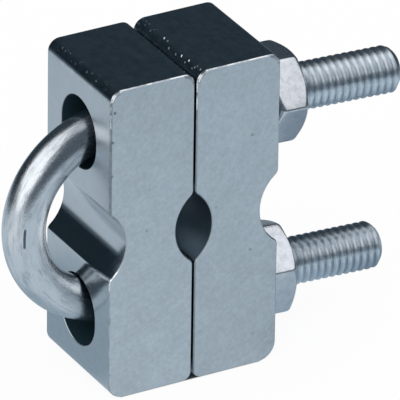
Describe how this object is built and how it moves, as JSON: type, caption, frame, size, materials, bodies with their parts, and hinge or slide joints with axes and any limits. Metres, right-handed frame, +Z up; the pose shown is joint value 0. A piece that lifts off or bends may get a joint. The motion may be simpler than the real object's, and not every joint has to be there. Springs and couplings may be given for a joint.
{
  "type": "grounding clamp",
  "caption": "U-bolt clamp that holds a ground rod in its bow and a bare cable between two grooved metal blocks.",
  "frame": {"origin": "middle of the front block's foot, on the plane that both blocks stand on", "axes": "+X along the U-bolt from its bow to its nuts, +Y across the blocks' width, +Z up"},
  "size_m": [0.0851, 0.0254, 0.0664],
  "materials": {
    "block_metal": "extruded and sawn, satin, with a fine grain",
    "bolt_plating": "bright zinc plate over smooth bent rod, with rolled threads",
    "nut_plating": "bright zinc plate over forged hexagon steel"
  },
  "bodies": {
    "front_block": {"front_block": "block_metal"},
    "rear_block": {"rear_block": "block_metal"},
    "u_bolt": {"u_bolt": "bolt_plating"},
    "upper_nut": {"upper_nut": "nut_plating"},
    "lower_nut": {"lower_nut": "nut_plating"}
  },
  "joints": [
    {"name": "rear_block_slide", "type": "slide", "parent": "front_block", "child": "rear_block", "axis": [1, 0, 0], "range_m": [0, 0.00635]},
    {"name": "u_bolt_slide", "type": "slide", "parent": "front_block", "child": "u_bolt", "axis": [-0.998, 0, 0.0628], "range_m": [0, 0.01271]},
    {"name": "upper_nut_turn", "type": "hinge", "parent": "rear_block", "child": "upper_nut", "pos_m": [0.02967, 0, 0.05105], "axis": [0.9991, 0, -0.0419], "range_deg": [0, 4320]},
    {"name": "lower_nut_turn", "type": "hinge", "parent": "rear_block", "child": "lower_nut", "pos_m": [0.02808, 0, 0.01308], "axis": [0.9991, 0, -0.0419], "range_deg": [0, 4320]}
  ],
  "couplings": [
    {"joint": "rear_block_slide", "follows": "u_bolt_slide", "ratio": 0.49967},
    {"joint": "upper_nut_turn", "follows": "u_bolt_slide", "rad_per_m": 5933},
    {"joint": "lower_nut_turn", "follows": "u_bolt_slide", "rad_per_m": 5933}
  ]
}
